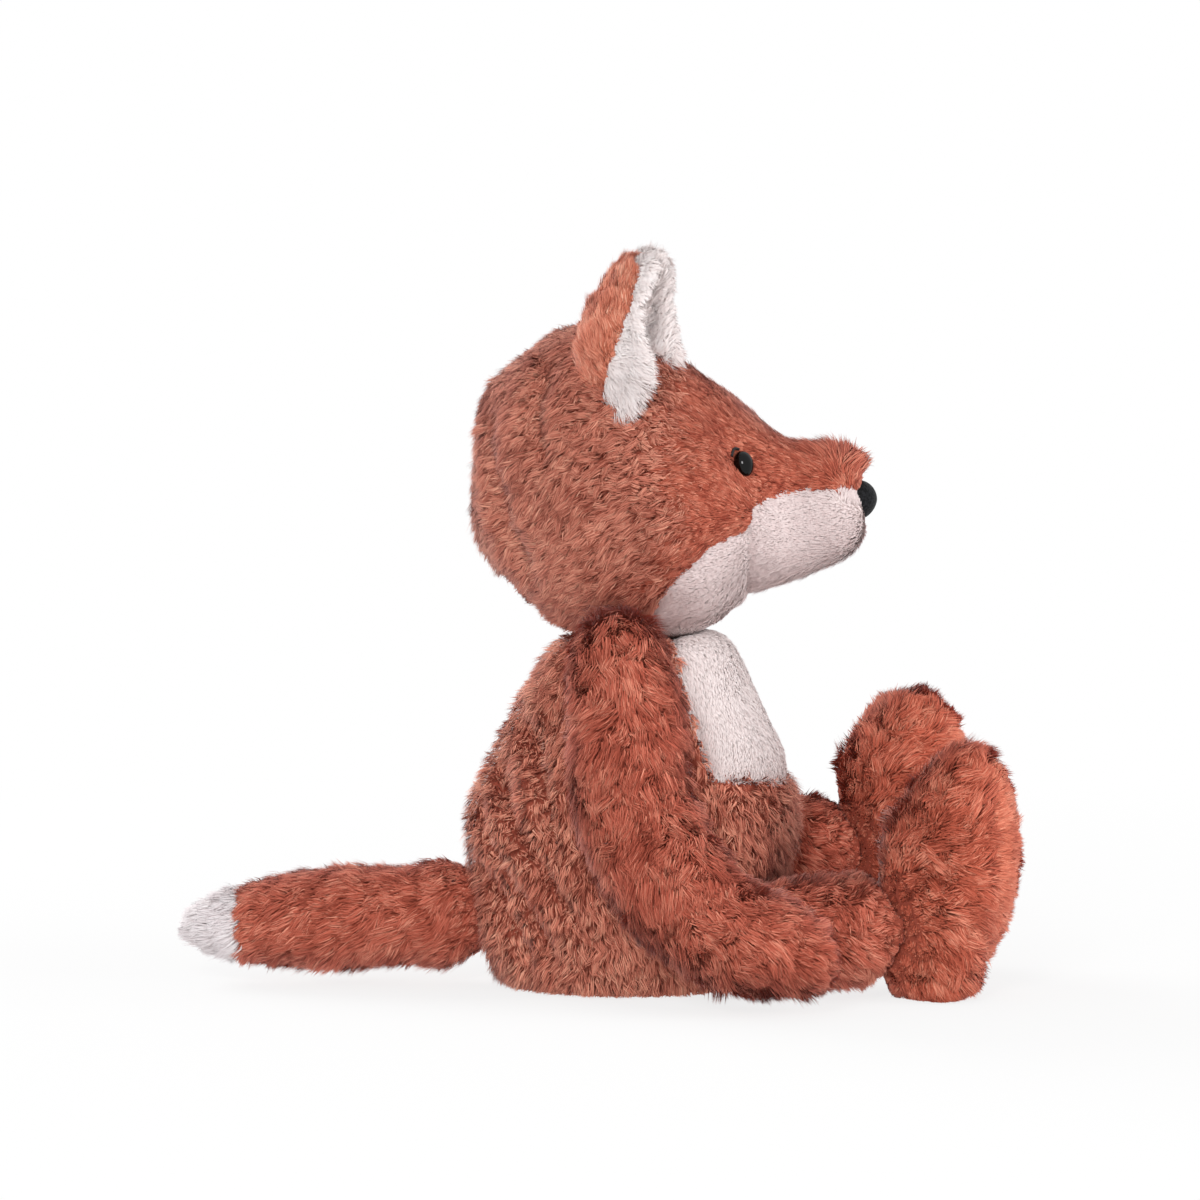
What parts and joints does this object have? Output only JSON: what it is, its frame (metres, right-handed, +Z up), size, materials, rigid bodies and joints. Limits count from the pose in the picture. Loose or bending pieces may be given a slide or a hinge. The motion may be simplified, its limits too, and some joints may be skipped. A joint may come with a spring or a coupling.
{
  "type": "plush fox",
  "caption": "Sitting plush fox toy with upright ears, a cream bib and muzzle, hanging arms, legs held out in front and a pale-tipped tail.",
  "frame": {"origin": "on the flat underside of the seat, below the middle of the body", "axes": "+X the way the fox faces, +Y its left side, +Z up"},
  "size_m": [0.2901, 0.1888, 0.2603],
  "materials": {
    "rust_plush": "short rust-orange plush pile, matt",
    "sole_plush": "lighter, longer rust plush pile, matt",
    "cream_plush": "very short cream plush pile, matt",
    "tail_tip_plush": "pale plush pile, matt",
    "fibre_filling": "loose white polyester fibre",
    "pellet_bag": "thin woven bag of plastic pellets",
    "nose_black": "flocked black",
    "eye_black": "polished black",
    "washer_nylon": "moulded white nylon"
  },
  "bodies": {
    "torso": {"torso_cover": "rust_plush", "chest_panel": "cream_plush", "torso_filling": "fibre_filling", "seat_bean_bag": "pellet_bag"},
    "head": {"head_cover": "rust_plush", "jaw_cover": "cream_plush", "head_filling": "fibre_filling", "nose": "nose_black", "nose_washer": "washer_nylon", "right_eye": "eye_black", "right_eye_washer": "washer_nylon", "right_ear_back": "rust_plush", "right_ear_lining": "cream_plush", "left_eye": "eye_black", "left_eye_washer": "washer_nylon", "left_ear_back": "rust_plush", "left_ear_lining": "cream_plush"},
    "right_arm": {"right_arm_cover": "rust_plush", "right_arm_filling": "fibre_filling"},
    "left_arm": {"left_arm_cover": "rust_plush", "left_arm_filling": "fibre_filling"},
    "right_leg": {"right_leg_cover": "rust_plush", "right_foot_cover": "rust_plush", "right_sole": "sole_plush", "right_leg_filling": "fibre_filling", "right_foot_filling": "fibre_filling"},
    "left_leg": {"left_leg_cover": "rust_plush", "left_foot_cover": "rust_plush", "left_sole": "sole_plush", "left_leg_filling": "fibre_filling", "left_foot_filling": "fibre_filling"},
    "tail": {"tail_cover": "rust_plush", "tail_tip": "tail_tip_plush", "tail_filling": "fibre_filling"}
  },
  "joints": [
    {"name": "neck_turn", "type": "hinge", "parent": "torso", "child": "head", "pos_m": [0.0099, 0, 0.126], "axis": [0, 0, 1], "range_deg": [-50, 50]},
    {"name": "right_shoulder", "type": "hinge", "parent": "torso", "child": "right_arm", "pos_m": [0.002, -0.03146, 0.11151], "axis": [-0.0945, -0.9454, 0.312], "range_deg": [-45, 30]},
    {"name": "left_shoulder", "type": "hinge", "parent": "torso", "child": "left_arm", "pos_m": [0.002, 0.03146, 0.11151], "axis": [0.0945, -0.9454, -0.312], "range_deg": [-45, 30]},
    {"name": "right_hip", "type": "hinge", "parent": "torso", "child": "right_leg", "pos_m": [0.048, -0.036, 0.0205], "axis": [0, -1, 0], "range_deg": [-80, 25]},
    {"name": "left_hip", "type": "hinge", "parent": "torso", "child": "left_leg", "pos_m": [0.036, 0.036, 0.04], "axis": [0, -1, 0], "range_deg": [-80, 25]},
    {"name": "tail_wag", "type": "hinge", "parent": "torso", "child": "tail", "pos_m": [-0.054, 0, 0.026], "axis": [0, 0, 1], "range_deg": [-35, 35]}
  ]
}
